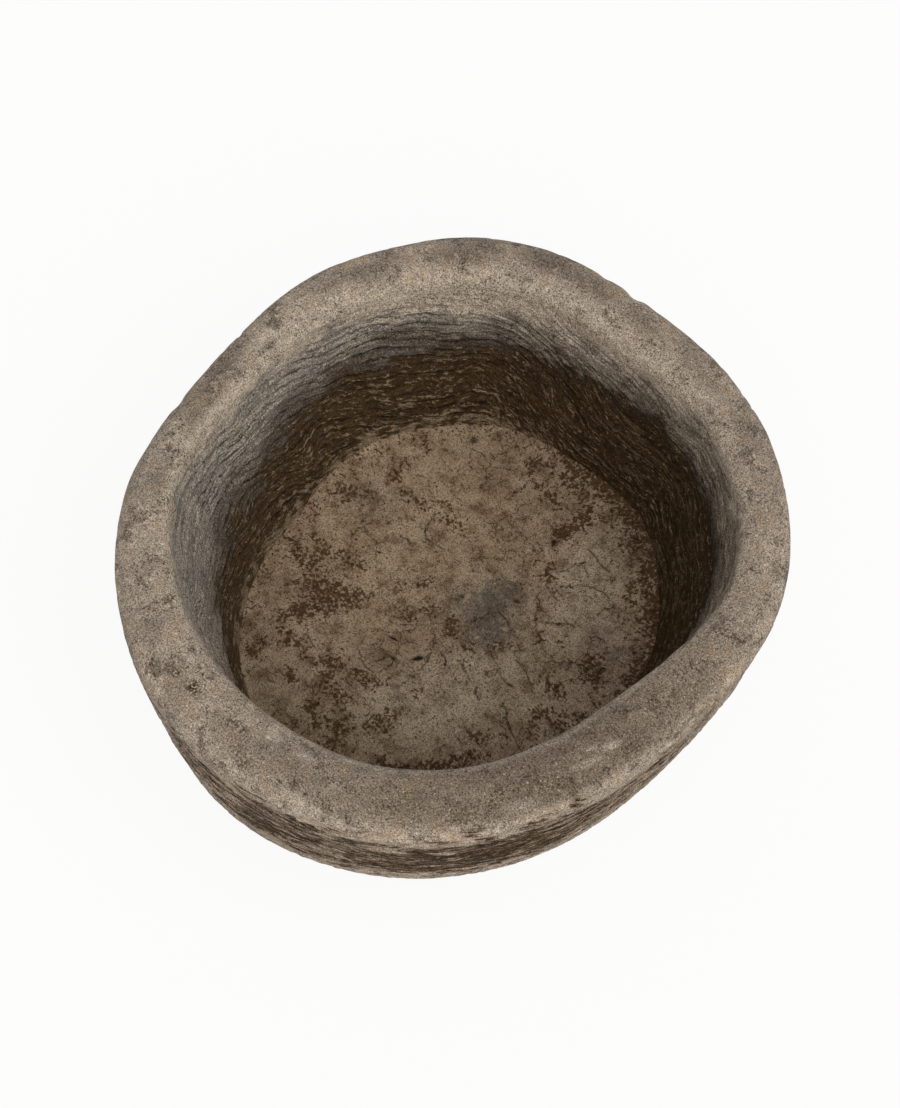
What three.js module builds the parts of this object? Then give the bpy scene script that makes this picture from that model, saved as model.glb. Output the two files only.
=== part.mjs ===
// A round farmhouse trough cut by hand from one block of stone, with a thin
// lime screed laid over the floor of its hollow.
// Millimetres, +Z up. The origin is the middle of the flat underside.
// Bearings run counter-clockwise from +X as seen from above.
import * as THREE from 'three';
import { mergeVertices } from 'three/addons/utils/BufferGeometryUtils.js';

// The block: mean sizes, before what the mason's hand adds or takes away.
const rimDiameter = 669;
const troughHeight = 258;
const outerBatter = 25;
const outerBelly = 3;
const shoulderRadius = 24;
const footRadius = 7;

// The rim, and the hollow inside it.
const rimWidth = 64.5;
const rimCrown = 2;
const lipRadius = 20;
const hollowDepth = 203;
const hollowBatter = 49;
const hollowBelly = 3;
const coveRadius = 9;

// The screed, trowelled a little lower in the middle than at the wall.
const screedThickness = 12;
const screedDish = 1.5;
const screedArris = 1;
const seatClearance = 0.3;

// How far each hand-cut line strays from a true circle. A lobe has so many
// crests round the trough, each so many millimetres of swell, with one of them
// at the bearing given in degrees.
const rimLobes = [
  { crests: 2, swell: 11.4, bearing: 56 },
  { crests: 3, swell: 6.8, bearing: -19 },
  { crests: 4, swell: 5.8, bearing: 1 },
  { crests: 7, swell: 1.3, bearing: 23 },
  { crests: 8, swell: 1.1, bearing: -15 },
];
const rimWidthLobes = [
  { crests: 1, swell: 3.1, bearing: -73 },
  { crests: 2, swell: 8.6, bearing: 77 },
  { crests: 3, swell: 2.5, bearing: -40 },
  { crests: 4, swell: 2.4, bearing: 36 },
];
const outerBatterLobes = [
  { crests: 1, swell: 8.8, bearing: -49 },
  { crests: 2, swell: 4.9, bearing: -72 },
  { crests: 3, swell: 3.1, bearing: 29 },
  { crests: 4, swell: 2.5, bearing: -10 },
];
const hollowBatterLobes = [
  { crests: 1, swell: 3.6, bearing: 104 },
  { crests: 2, swell: 5.5, bearing: -46 },
  { crests: 3, swell: 4.2, bearing: 18 },
  { crests: 4, swell: 8.9, bearing: -7 },
];
const rimLevelLobes = [
  { crests: 2, swell: 1, bearing: 20 },
  { crests: 5, swell: 0.8, bearing: 50 },
];

// The swells and hollows that the mason's point left in both walls: waves that
// go round the trough and climb it, one full wave in so many millimetres.
const dressingWaves = [
  { crests: 7, swell: 0.8, climb: 210 },
  { crests: 11, swell: 0.6, climb: -150 },
  { crests: 17, swell: 0.5, climb: 120 },
];

// The furrows that the mason's punch cut into both walls, course over course.
// Each course wanders up and down on its way round.
const furrowPitch = 48;
const furrowDepth = 2;
const furrowWander = [
  { crests: 3, swell: 9, bearing: 30 },
  { crests: 5, swell: 6, bearing: -50 },
];

// How much of the rim's width its two roundings may take where it is narrow.
const widestShoulder = 0.5;
const widestLip = 0.4;

// How finely the surfaces are drawn.
const bearingSteps = 96;
const facesPerRounding = 5;
const facesPerWall = 16;
const facesPerFloor = 3;

// Heights that follow from the sizes above.
const screedTop = troughHeight - hollowDepth;
const bedHeight = screedTop - screedThickness;
const cove = Math.min(coveRadius, screedThickness - 2 * screedArris);
const coveTop = bedHeight + cove;

const stoneColour = '#8b7d6e';
const screedColour = '#766552';

function stray(lobes, bearing) {
  return lobes.reduce((sum, lobe) => {
    const crest = THREE.MathUtils.degToRad(lobe.bearing);
    return sum + lobe.swell * Math.cos(lobe.crests * (bearing - crest));
  }, 0);
}

// What the dressing adds to a wall at a share of the way up it: nothing at
// either end, where the roundings carry on from it.
function dressing(bearing, height, share) {
  const waves = dressingWaves.reduce((sum, wave) => {
    const turn = wave.crests * bearing + (2 * Math.PI * height) / wave.climb;
    return sum + wave.swell * Math.cos(turn);
  }, 0);
  return waves * Math.sin(Math.PI * share);
}

// How deep the furrows go into a wall, never out of it, at a share of the way
// up: nothing at either end, as with the dressing.
function furrow(bearing, height, share) {
  const course = (height + stray(furrowWander, bearing)) / furrowPitch;
  const depth = (furrowDepth * (1 - Math.cos(2 * Math.PI * course))) / 2;
  return depth * Math.sin(Math.PI * share);
}

// The radii of the trough's four guiding lines at a bearing, the two roundings
// of the rim, and the height at which they end and its crown begins.
function linesAt(bearing) {
  const rim = rimDiameter / 2 + stray(rimLobes, bearing);
  const width = rimWidth + stray(rimWidthLobes, bearing);
  const mouth = rim - width;
  return {
    rim,
    mouth,
    foot: rim - outerBatter - stray(outerBatterLobes, bearing),
    floor: mouth - hollowBatter - stray(hollowBatterLobes, bearing),
    shoulder: Math.min(shoulderRadius, width * widestShoulder),
    lip: Math.min(lipRadius, width * widestLip),
    top: troughHeight - rimCrown + stray(rimLevelLobes, bearing),
  };
}

// A rounded corner: part of a circle about a centre, from one direction to another.
function rounding(centreX, centreY, radius, fromDegrees, toDegrees) {
  const from = THREE.MathUtils.degToRad(fromDegrees);
  const to = THREE.MathUtils.degToRad(toDegrees);
  const arc = new THREE.EllipseCurve(centreX, centreY, radius, radius, from, to, to < from);
  return arc.getPoints(facesPerRounding);
}

// The outer face between the foot's rounding and the shoulder's, both left out.
function outerWall(lines, bearing) {
  return Array.from({ length: facesPerWall - 1 }, (_, i) => {
    const share = (i + 1) / facesPerWall;
    const height = THREE.MathUtils.lerp(footRadius, lines.top - lines.shoulder, share);
    const straight = THREE.MathUtils.lerp(lines.foot, lines.rim, share);
    const belly = outerBelly * Math.sin(Math.PI * share);
    const dressed = dressing(bearing, height, share) - furrow(bearing, height, share);
    return new THREE.Vector2(straight + belly + dressed, height);
  });
}

// The crown of the rim between its two roundings, both left out.
function rimTop(lines) {
  const outer = lines.rim - lines.shoulder;
  const inner = lines.mouth + lines.lip;
  return Array.from({ length: facesPerRounding - 1 }, (_, i) => {
    const share = (i + 1) / facesPerRounding;
    const height = lines.top + rimCrown * Math.sin(Math.PI * share);
    return new THREE.Vector2(THREE.MathUtils.lerp(outer, inner, share), height);
  });
}

// The hollow's wall as a radius at a height: from the lip down to the screed
// and straight on to the bed, a little fuller halfway down.
function hollowRadius(lines, bearing, height) {
  const share = (height - screedTop) / (lines.top - lines.lip - screedTop);
  const straight = THREE.MathUtils.lerp(lines.floor, lines.mouth, share);
  if (share <= 0) return straight;
  const belly = hollowBelly * Math.sin(Math.PI * share);
  return straight + belly + dressing(bearing, height, share) + furrow(bearing, height, share);
}

// The wall of the hollow below the lip's rounding, down to the screed.
function hollowWall(lines, bearing) {
  return Array.from({ length: facesPerWall }, (_, i) => {
    const share = (i + 1) / facesPerWall;
    const height = THREE.MathUtils.lerp(lines.top - lines.lip, screedTop, share);
    return new THREE.Vector2(hollowRadius(lines, bearing, height), height);
  });
}

// The stone's section at a bearing, from the middle of the underside out and up
// over the rim, and down the hollow to the middle of the bed under the screed.
function stoneSection(bearing) {
  const lines = linesAt(bearing);
  const coveEdge = hollowRadius(lines, bearing, coveTop);
  return [
    new THREE.Vector2(0, 0),
    ...rounding(lines.foot - footRadius, footRadius, footRadius, -90, 0),
    ...outerWall(lines, bearing),
    ...rounding(lines.rim - lines.shoulder, lines.top - lines.shoulder, lines.shoulder, 0, 90),
    ...rimTop(lines),
    ...rounding(lines.mouth + lines.lip, lines.top - lines.lip, lines.lip, 90, 180),
    ...hollowWall(lines, bearing),
    ...rounding(coveEdge - cove, coveTop, cove, 0, -90),
    new THREE.Vector2(0, bedHeight),
  ];
}

// The screed's section at a bearing: it lies on the bed, fills the cove and
// meets the wall, a clearance from the stone all round, under a dished top.
function screedSection(bearing) {
  const lines = linesAt(bearing);
  const coveEdge = hollowRadius(lines, bearing, coveTop);
  const arrisFoot = screedTop - screedArris;
  const edge = hollowRadius(lines, bearing, arrisFoot) - seatClearance;
  const top = Array.from({ length: facesPerFloor + 1 }, (_, i) => {
    const share = 1 - i / facesPerFloor;
    const height = screedTop - screedDish * (1 - share * share);
    return new THREE.Vector2((edge - screedArris) * share, height);
  });
  return [
    new THREE.Vector2(0, bedHeight + seatClearance),
    ...rounding(coveEdge - cove, coveTop, cove - seatClearance, -90, 0),
    new THREE.Vector2(edge, arrisFoot),
    ...top,
  ];
}

// A closed solid that has a section of its own at every bearing: a lathed form
// whose columns of points are then set out again one by one.
function sweptSections(sectionAt) {
  const rows = sectionAt(0).length;
  const lathed = new THREE.LatheGeometry(sectionAt(0), bearingSteps);
  for (let step = 0; step <= bearingSteps; step += 1) {
    const bearing = (2 * Math.PI * (step % bearingSteps)) / bearingSteps;
    sectionAt(bearing).forEach((point, row) => {
      const x = point.x * Math.cos(bearing);
      const y = point.x * Math.sin(bearing);
      lathed.attributes.position.setXYZ(step * rows + row, x, y, point.y);
    });
  }
  return withoutSlivers(lathed);
}

// Where the sections meet on the axis their faces shrink to nothing: the
// points there are joined and such faces left out.
function withoutSlivers(geometry) {
  geometry.deleteAttribute('normal');
  geometry.deleteAttribute('uv');
  const merged = mergeVertices(geometry);
  const corners = Array.from(merged.index.array);
  const kept = [];
  for (let i = 0; i < corners.length; i += 3) {
    const [a, b, c] = corners.slice(i, i + 3);
    if (a !== b && b !== c && c !== a) kept.push(a, b, c);
  }
  merged.setIndex(kept);
  merged.computeVertexNormals();
  return merged;
}

function stoneBody() {
  const stone = new THREE.MeshStandardMaterial({ color: stoneColour, roughness: 0.92, metalness: 0 });
  const mesh = new THREE.Mesh(sweptSections(stoneSection), stone);
  mesh.name = 'stone_body';
  return mesh;
}

function floorScreed() {
  const lime = new THREE.MeshStandardMaterial({ color: screedColour, roughness: 0.85, metalness: 0 });
  const mesh = new THREE.Mesh(sweptSections(screedSection), lime);
  mesh.name = 'floor_screed';
  return mesh;
}

// The trough stands centred over the origin, however its outline strays.
function stoneTrough() {
  const trough = new THREE.Group();
  trough.add(stoneBody(), floorScreed());
  const middle = new THREE.Box3().setFromObject(trough).getCenter(new THREE.Vector3());
  trough.position.set(-middle.x, -middle.y, 0);
  return trough;
}

export default stoneTrough();
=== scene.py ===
import math
from types import SimpleNamespace

import bmesh
import bpy
import numpy as np
from bpy.props import FloatProperty, FloatVectorProperty, IntProperty, PointerProperty
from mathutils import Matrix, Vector
from mathutils.bvhtree import BVHTree


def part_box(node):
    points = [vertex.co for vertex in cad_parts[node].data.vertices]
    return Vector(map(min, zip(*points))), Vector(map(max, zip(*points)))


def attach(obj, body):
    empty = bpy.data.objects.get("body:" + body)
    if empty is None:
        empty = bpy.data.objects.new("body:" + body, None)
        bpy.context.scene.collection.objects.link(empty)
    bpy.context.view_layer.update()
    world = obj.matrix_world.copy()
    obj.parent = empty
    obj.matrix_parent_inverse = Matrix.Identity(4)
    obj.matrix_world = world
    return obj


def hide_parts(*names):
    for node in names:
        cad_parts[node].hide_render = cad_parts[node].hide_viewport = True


bl_info = {
    "name": "Stone trough",
    "version": (1, 0, 0),
    "blender": (4, 5, 0),
    "location": "3D View > Sidebar > Trough",
    "description": "Dresses a hand-cut stone trough and its lime screed over the frame of their solids",
    "category": "Object",
}

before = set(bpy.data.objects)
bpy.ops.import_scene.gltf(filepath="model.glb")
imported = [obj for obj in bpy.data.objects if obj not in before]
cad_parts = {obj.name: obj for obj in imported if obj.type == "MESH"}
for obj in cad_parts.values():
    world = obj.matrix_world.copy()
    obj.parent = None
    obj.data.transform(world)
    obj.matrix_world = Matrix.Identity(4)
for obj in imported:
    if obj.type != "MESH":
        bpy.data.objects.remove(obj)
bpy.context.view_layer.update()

MM = 0.001
UP = Vector((0, 0, 1))

# The photograph's camera: it looks along +Y and down, at a point inside the trough.
AIM = Vector((-4.1, 10.4, 128.6)) * MM
ELEVATION = math.radians(61.76)
DISTANCE = 1800 * MM
PHOTO_WIDTH, PHOTO_HEIGHT = 900, 1108
FOCAL_PIXELS = 1703
FILM = 36

# Heights that the solids give: the top of the rim, the screed's edge and its underside.
BLOCK_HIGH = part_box("stone_body")[1]
RIM_TOP = BLOCK_HIGH.z
SCREED_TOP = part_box("floor_screed")[1].z
SCREED_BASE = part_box("floor_screed")[0].z


def linear(hex_colour):
    """An sRGB hex colour as linear red, green and blue."""
    channels = [int(hex_colour[i:i + 2], 16) / 255 for i in (1, 3, 5)]
    return tuple(c / 12.92 if c <= 0.04045 else ((c + 0.055) / 1.055) ** 2.4 for c in channels)


def length(description, default):
    """A length that a user can change."""
    return FloatProperty(description=description, default=default, min=0, unit="LENGTH",
                         subtype="DISTANCE", precision=5)


def colour(description, hex_colour):
    """A colour that a user can change."""
    return FloatVectorProperty(description=description, default=linear(hex_colour), size=3,
                               min=0, max=1, subtype="COLOR")


class TroughSizes(bpy.types.PropertyGroup):
    """How deep and how close the mason's marks are, and how finely the surfaces are drawn."""
    ledge_pitch: length("Height of one course of tool ledges on the walls", 11 * MM)
    ledge_depth: length("How far a tool ledge stands out", 2.2 * MM)
    nick_pitch: length("Height of one course of nicks between the ledges", 6.5 * MM)
    nick_depth: length("How deep a nick is", 0.8 * MM)
    wear_depth: length("How far all of the stone has worn back", 0.8 * MM)
    rim_lumps: length("How deep the worn lumps of the rim are", 0.8 * MM)
    chip_depth: length("How deep the brow and the foot are chipped", 2.2 * MM)
    trowel_swell: length("How far the screed's top rises and falls", 0.6 * MM)
    grain: length("Size of the stone's grains", 1.4 * MM)
    grit: length("Size of the sand grains in the screed", 2.2 * MM)
    columns: IntProperty(description="Sections drawn round the trough", default=800, min=96, max=1200)
    cells: IntProperty(description="Cells across the screed", default=460, min=40, max=600)


class TroughColours(bpy.types.PropertyGroup):
    """The colours of the stone, of what has settled on it, and of the screed."""
    warm_stone: colour("Dressed face of the stone", "#b0a08f")
    grey_stone: colour("Weathered face of the stone", "#978b7d")
    clay_stone: colour("Iron-stained patches", "#a68f75")
    dry_stone: colour("Clean face high in the hollow", "#b3a492")
    # Pale stone is also the painted highlight on the ledges' edges and the painted light on the screed's
    # paler places.
    pale_stone: colour("Fresh scuffs, chips and grains", "#c6baab")
    lichen: colour("Thin dark grey film on the rim", "#5f5347")
    dirty_stone: colour("Grime on the front of the rim", "#68594a")
    water_film: colour("Grey film of hard water high in the hollow", "#7b766f")
    damp_stone: colour("Dark grey face above the silt", "#4b4239")
    silt: colour("Brown silt low in the hollow and in the pits", "#3d2b14")
    fleck: colour("Flecks of stone bare of silt", "#8f7c64")
    # Shade is the colour of the painted shadow in the lines under the ledges; it is also the dark of the
    # outer stains, of the soaked line over the silt and of the screed's cracks.
    shade: colour("Dirt in the lines under the ledges", "#1d140c")
    lime: colour("Face of the screed", "#9c8972")
    lime_stain: colour("Brown washed thinly over the screed and the outer face", "#68503a")
    stain: colour("Brown caught in the screed's worn places", "#402d1a")
    lime_grey: colour("Patch of the screed worn grey", "#5c564c")
    floor: colour("The pale floor it stands on", "#e8e6e3")


def smooth(value, low, high):
    """From 0 at low to 1 at high, with soft ends."""
    share = np.clip((value - low) / (high - low), 0, 1)
    return share * share * (3 - 2 * share)


def seen_at(x, y, z):
    """The photograph's pixels at which points of the trough are seen."""
    right = x - AIM.x
    up = (y - AIM.y) * math.sin(ELEVATION) + (z - AIM.z) * math.cos(ELEVATION)
    towards = (z - AIM.z) * math.sin(ELEVATION) - (y - AIM.y) * math.cos(ELEVATION)
    scale = FOCAL_PIXELS / (DISTANCE - towards)
    return PHOTO_WIDTH / 2 + right * scale, PHOTO_HEIGHT / 2 - up * scale


# How far apart the crests of blurred noise lie, in spreads of the blur.
SPREADS_APART = 9


def noise_over(shape, spacing):
    """A maker of smooth noise over a grid of cells with that spacing. It adds up layers of lumps:
    each has a strength, two sizes in millimetres from crest to crest along the grid, and a seed."""
    def lumps(*layers):
        total = 0
        for strength, long, wide, seed in layers:
            white = np.random.default_rng(seed).standard_normal(shape)
            first = np.fft.fftfreq(shape[0], spacing[0])[:, None] * (long * MM / SPREADS_APART)
            second = np.fft.rfftfreq(shape[1], spacing[1])[None, :] * (wide * MM / SPREADS_APART)
            damping = np.exp(-2 * math.pi ** 2 * (first ** 2 + second ** 2))
            field = np.fft.irfft2(np.fft.rfft2(white) * damping, shape)
            total = total + strength * (field / field.std())
        return total
    return lumps


# Tracing the sections of the solid

# How closely: the bearings, the lobes kept round the trough, the steps up the walls, and the fans
# of rays that go round the foot and the crown, with their sizes and their tilts in degrees. Then
# how far below the screed's edge the trace ends, and how finely and smoothly its curve is drawn.
TRACED_BEARINGS = 192
TRACED_LOBES = 24
TRACE_STEP = 8 * MM
FOOT_FAN = 12 * MM
FOOT_TILTS = (-90, -70, -50, -35, -20, 0)
CROWN_FAN = 29 * MM
CROWN_TILTS = range(10, 171, 10)
BED_TRACE = 2 * MM
ROWS_PER_STEP = 7
TRACE_BLUR = 3 * MM


def solid_tree(mesh):
    """A mesh's faces, ready for rays to be cast at them."""
    faces = [tuple(p.vertices) for p in mesh.polygons]
    return BVHTree.FromPolygons([v.co for v in mesh.vertices], faces)


def probe(tree, bearing, radius, height, tilt):
    """Where a ray in the plane of a bearing, tilted in degrees, meets the solid: radius and height."""
    out = Vector((math.cos(bearing), math.sin(bearing), 0))
    tilt = math.radians(tilt)
    hit = tree.ray_cast(out * radius + UP * height, out * math.cos(tilt) + UP * math.sin(tilt))[0]
    if hit is None:
        raise RuntimeError(f"no stone at bearing {bearing:.2f}, height {height:.3f}")
    return math.hypot(hit.x, hit.y), hit.z


def traced_section(tree, bearing):
    """The solid's section at a bearing, from its foot up over the rim and down to the bed."""
    far = 2 * BLOCK_HIGH.y
    level = RIM_TOP - CROWN_FAN
    middle = (probe(tree, bearing, far, level, 180)[0] + probe(tree, bearing, 0, level, 0)[0]) / 2
    foot = probe(tree, bearing, far, FOOT_FAN, 180)[0] - FOOT_FAN
    wall_steps = round((level - FOOT_FAN) / TRACE_STEP)
    hollow_steps = round((level - SCREED_TOP) / TRACE_STEP)
    rays = [(foot, FOOT_FAN, tilt) for tilt in FOOT_TILTS]
    rays += [(far, z, 180) for z in np.linspace(FOOT_FAN, level, wall_steps + 1)[1:]]
    rays += [(middle, level, tilt) for tilt in CROWN_TILTS]
    rays += [(0, z, 0) for z in np.linspace(level, SCREED_TOP - BED_TRACE, hollow_steps + 1)]
    return [probe(tree, bearing, *ray) for ray in rays]


def finer_round(sections, columns):
    """Sections at more bearings, without the flats between the traced ones."""
    waves = np.fft.rfft(sections, axis=0)
    waves[TRACED_LOBES:] = 0
    return np.fft.irfft(waves, columns, axis=0) * (columns / len(sections))


def finer_along(sections):
    """Sections with more points, on a smooth curve through the traced ones."""
    padded = np.concatenate([sections[:, :1], sections, sections[:, -1:]], axis=1)
    before, start, end, after = padded[:, :-3], padded[:, 1:-2], padded[:, 2:-1], padded[:, 3:]
    rows = []
    for t in np.arange(ROWS_PER_STEP) / ROWS_PER_STEP:
        bend = (2 * before - 5 * start + 4 * end - after) * t ** 2
        twist = (3 * (start - end) + after - before) * t ** 3
        rows.append(start + ((end - before) * t + bend + twist) / 2)
    woven = np.stack(rows, axis=2).reshape(len(sections), -1, 2)
    return np.concatenate([woven, sections[:, -1:]], axis=1)


def along_sections(sections):
    """How far along its section each point lies, averaged round the trough."""
    steps = np.linalg.norm(np.diff(sections, axis=1), axis=2).mean(axis=0)
    return np.concatenate([[0], np.cumsum(steps)])


def block_sections(columns):
    """The sections of the whole block, all round: radii and heights by column and row. Each point
    is drawn to its neighbours, so that the solid's facets are worn away."""
    tree = solid_tree(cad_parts["stone_body"].data)
    bearings = np.arange(TRACED_BEARINGS) * 2 * math.pi / TRACED_BEARINGS
    traced = np.array([traced_section(tree, b) for b in bearings])
    sections = finer_along(finer_round(traced, columns))
    along = along_sections(sections)
    weights = np.exp(-((along[:, None] - along[None, :]) / TRACE_BLUR) ** 2 / 2)
    weights /= weights.sum(axis=1, keepdims=True)
    return np.einsum("rs,csk->crk", weights, sections)


# Carving the stone

# Heights in the hollow at which the photograph shows a change, in millimetres at bearings in degrees:
# where the rim's colour ends, where the wall turns dark, and the ragged top of the brown silt.
RIM_COLOUR_ENDS = [
    (0, 238), (30, 232), (60, 216), (85, 208), (110, 224), (140, 240), (175, 238), (210, 240),
]
DARK_BEGINS = [
    (0, 207), (30, 204), (60, 190), (80, 184), (100, 196), (140, 194), (172, 158), (190, 134), (210, 104),
]
SILT_BEGINS = [
    (0, 170), (35, 177), (55, 176), (75, 162), (96, 156), (127, 153), (145, 150), (166, 123), (185, 108),
    (210, 92), (270, 140), (330, 164),
]
# How dusty and how flecked the silt is, as shares at bearings in degrees. Where the silt is dusty,
# the wall over it is greyer too, and chalky where the share passes 1.
SILT_DUST = [
    (0, 0), (50, 0.1), (90, 0.4), (135, 0.6), (180, 1), (215, 1.3), (240, 1.2), (275, 0.5), (320, 0),
]
SILT_FLECKS = [(0, 0.05), (50, 0.35), (85, 1), (200, 0.95), (270, 0.5), (330, 0.05)]
# How far the courses of ledges in the hollow have climbed, in millimetres at bearings in degrees.
LEDGE_RISE = [(40, 6), (80, 84), (110, 104), (210, 175), (345, 0)]
# How much of the outer face is stained brown, as a share at bearings in degrees.
OUTER_STAIN = [
    (20, 0.2), (90, 0.35), (150, 0.25), (190, 0), (216, 0.15), (226, 0.7), (240, 1), (254, 0.9),
    (266, 1.35), (284, 1.3), (296, 0.7), (322, 0.4), (334, 0.1), (350, 0),
]
# How grimy the rim is, in the same way, and which side of it has gone grey: 1 the outer, -1 the inner.
RIM_GRIME = [
    (0, 0.1), (20, 0.1), (45, 0.2), (60, 0), (140, 0), (150, 0.3), (165, 0), (235, 0.25), (262, 0.75),
    (292, 0.95), (318, 0.75), (338, 0.2),
]
GREY_SIDE = [(0, 0.4), (50, 1), (90, 0.9), (150, 0.9), (190, 0.2), (235, -0.5), (290, -0.6), (325, 0)]
# How finely these are eased round the trough; how deep all marks together, a silted pit and a notch go.
EASED_LOBES = 30
DEEPEST = 5 * MM
SILT_PIT_DEPTH = 1 * MM
NOTCH_DEPTH = 3 * MM
# How far the crown stays under the solid's.
CROWN_CLEAR = 0.1 * MM


def round_the_trough(table, place):
    """What a table gives at some bearings, at the bearing of every column, eased in between."""
    even = np.interp(np.arange(place.columns) * 360 / place.columns, *zip(*table), period=360)
    waves = np.fft.rfft(even)
    waves *= np.exp(-(np.arange(len(waves)) / EASED_LOBES) ** 2)
    return np.fft.irfft(waves, place.columns)[:, None]


def outward(sections):
    """The way out of the stone at each point, and the way on along the section."""
    onward = np.gradient(sections, axis=1)
    onward /= np.linalg.norm(onward, axis=2, keepdims=True)
    return np.stack([onward[..., 1], -onward[..., 0]], axis=2), onward


def turned(sections):
    """The sections' points as x, y and z."""
    bearings = np.arange(len(sections))[:, None] * 2 * math.pi / len(sections)
    return sections[..., 0] * np.cos(bearings), sections[..., 0] * np.sin(bearings), sections[..., 1]


def tool_ledges(lumps, level, pitch, seed):
    """The ledges that the mason's point left, course over course: which course each point lies in
    and how far up it, how plain the ledge is there, and how deep the point lies under it."""
    apart = pitch / MM
    course = level / pitch + lumps(
        (0.55, 24 * apart, 18 * apart, seed),
        (0.17, 10 * apart, 9 * apart, seed + 1),
        (0.05, 3.4 * apart, 3 * apart, seed + 2),
        (0.02, 1.3 * apart, 1.5 * apart, seed + 3),
    )
    share = np.mod(course, 1)
    strength = np.clip(0.95 + lumps((0.3, 16 * apart, 4 * apart, seed + 4)), 0.5, 1.4)
    strength *= np.clip(0.85 + lumps((0.4, 9 * apart, 1.3 * apart, seed + 5)), 0.15, 1.4)
    return course, strength, (1 - share) ** 1.3 * smooth(share, 0, 0.14) * strength


def regions(sections, normal):
    """Where each point lies: its height, how far down from the rim's top it is, and its shares of
    inside, outer face, hollow, crown, brow over the outer face, and dressed wall."""
    height = sections[..., 1]
    along = along_sections(sections)
    top_row = int(np.argmax(height.mean(axis=0)))
    inside = (np.arange(len(along)) > top_row) * np.ones(height.shape)
    down = np.abs(along - along[top_row]) * np.ones(height.shape)
    outer = smooth(normal[..., 0], 0.45, 0.9)
    hollow = smooth(-normal[..., 0], 0.3, 0.85)
    high = smooth(height, RIM_TOP - 60 * MM, RIM_TOP - 30 * MM)
    crown = (1 - outer - hollow).clip(0, 1) * high
    brow = smooth(normal[..., 0], 0.3, 0.6) * high
    walls = outer * smooth(down, 34 * MM, 60 * MM)
    above_screed = smooth(height, SCREED_TOP + 1 * MM, SCREED_TOP + 12 * MM)
    walls += inside * smooth(down, 25 * MM, 78 * MM) * above_screed
    return SimpleNamespace(height=height, down=down, inside=inside, outer=outer, hollow=hollow,
                           crown=crown, brow=brow, walls=walls, columns=len(sections))


def hollow_bands(lumps, place):
    """What water and silt left in the hollow: its grey film, its dark band, the height above the
    silt, how dusty the silt is, and how thick its bare flecks and the smears of lime at its foot are."""
    ragged = lumps((6 * MM, 90, 50, 41), (4 * MM, 34, 9, 42))
    rim_ends = round_the_trough(RIM_COLOUR_ENDS, place) * MM + ragged
    dark_begins = round_the_trough(DARK_BEGINS, place) * MM + ragged
    silt_begins = round_the_trough(SILT_BEGINS, place) * MM + 0.8 * ragged
    clusters = np.clip(0.45 + lumps((0.5, 70, 30, 43)), 0, 1.2)
    flecked = round_the_trough(SILT_FLECKS, place) * place.inside
    low = smooth(silt_begins - place.height, 10 * MM, 90 * MM)
    smears = np.clip(0.7 + lumps((0.5, 60, 24, 44)), 0, 1)
    at_foot = smooth(SCREED_TOP + 32 * MM - place.height, 0, 26 * MM)
    return {
        "film": smooth(rim_ends - place.height, -3 * MM, 10 * MM) * place.inside,
        "damp": smooth(dark_begins - place.height, -8 * MM, 26 * MM) * place.inside,
        "above_silt": np.where(place.inside, place.height - silt_begins, RIM_TOP),
        "fleck": clusters * (0.35 + 0.65 * low) * flecked,
        "dust": round_the_trough(SILT_DUST, place) * place.inside,
        "smear": smears * flecked * at_foot,
    }


def outer_stain(lumps, place):
    """How brown the outer face is, in blotches that keep clear of the rim and the foot."""
    blotches = 0.75 + lumps((0.25, 60, 30, 51), (0.1, 26, 10, 52))
    ragged = place.height + lumps((14 * MM, 70, 30, 53))
    clear = smooth(ragged, 22 * MM, 80 * MM) * smooth(RIM_TOP - 14 * MM - ragged, 0, 60 * MM)
    return round_the_trough(OUTER_STAIN, place) * np.clip(blotches, 0, 1.2) * clear * place.outer


def stone_shares(lumps, place, seen, strength):
    """The shares that say where the stone is dressed, dry, grimy, grey, stained and marked, and how
    dark the painted shadow in its lines is.
    """
    on_top = (1 - place.outer) * (1 - place.hollow)
    across_rim = smooth(place.down, 0, 26 * MM) * np.where(place.inside, -1, 1)
    stain = outer_stain(lumps, place)
    # How dark the painted shadow in the lines under the ledges is: darker deeper in the hollow, and
    # darker where the outer face is stained.
    line_darkness = place.inside * (0.5 + 0.5 * smooth(place.down, 35 * MM, 100 * MM))
    line_darkness += (1 - place.inside) * (0.4 + 0.6 * np.clip(stain, 0, 1))
    return {
        "ledge": strength * place.walls,
        "line": strength * place.walls * line_darkness,
        "wall": place.walls,
        "dry": place.inside * place.hollow,
        "outer_stain": stain,
        "rim_grime": round_the_trough(RIM_GRIME, place) * on_top,
        "grey_side": round_the_trough(GREY_SIDE, place) * across_rim,
        "rim_lichen": mark_share(*seen, RIM_LICHEN) * on_top,
        "rim_scuff": mark_share(*seen, RIM_SCUFFS) * on_top,
    }


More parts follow.
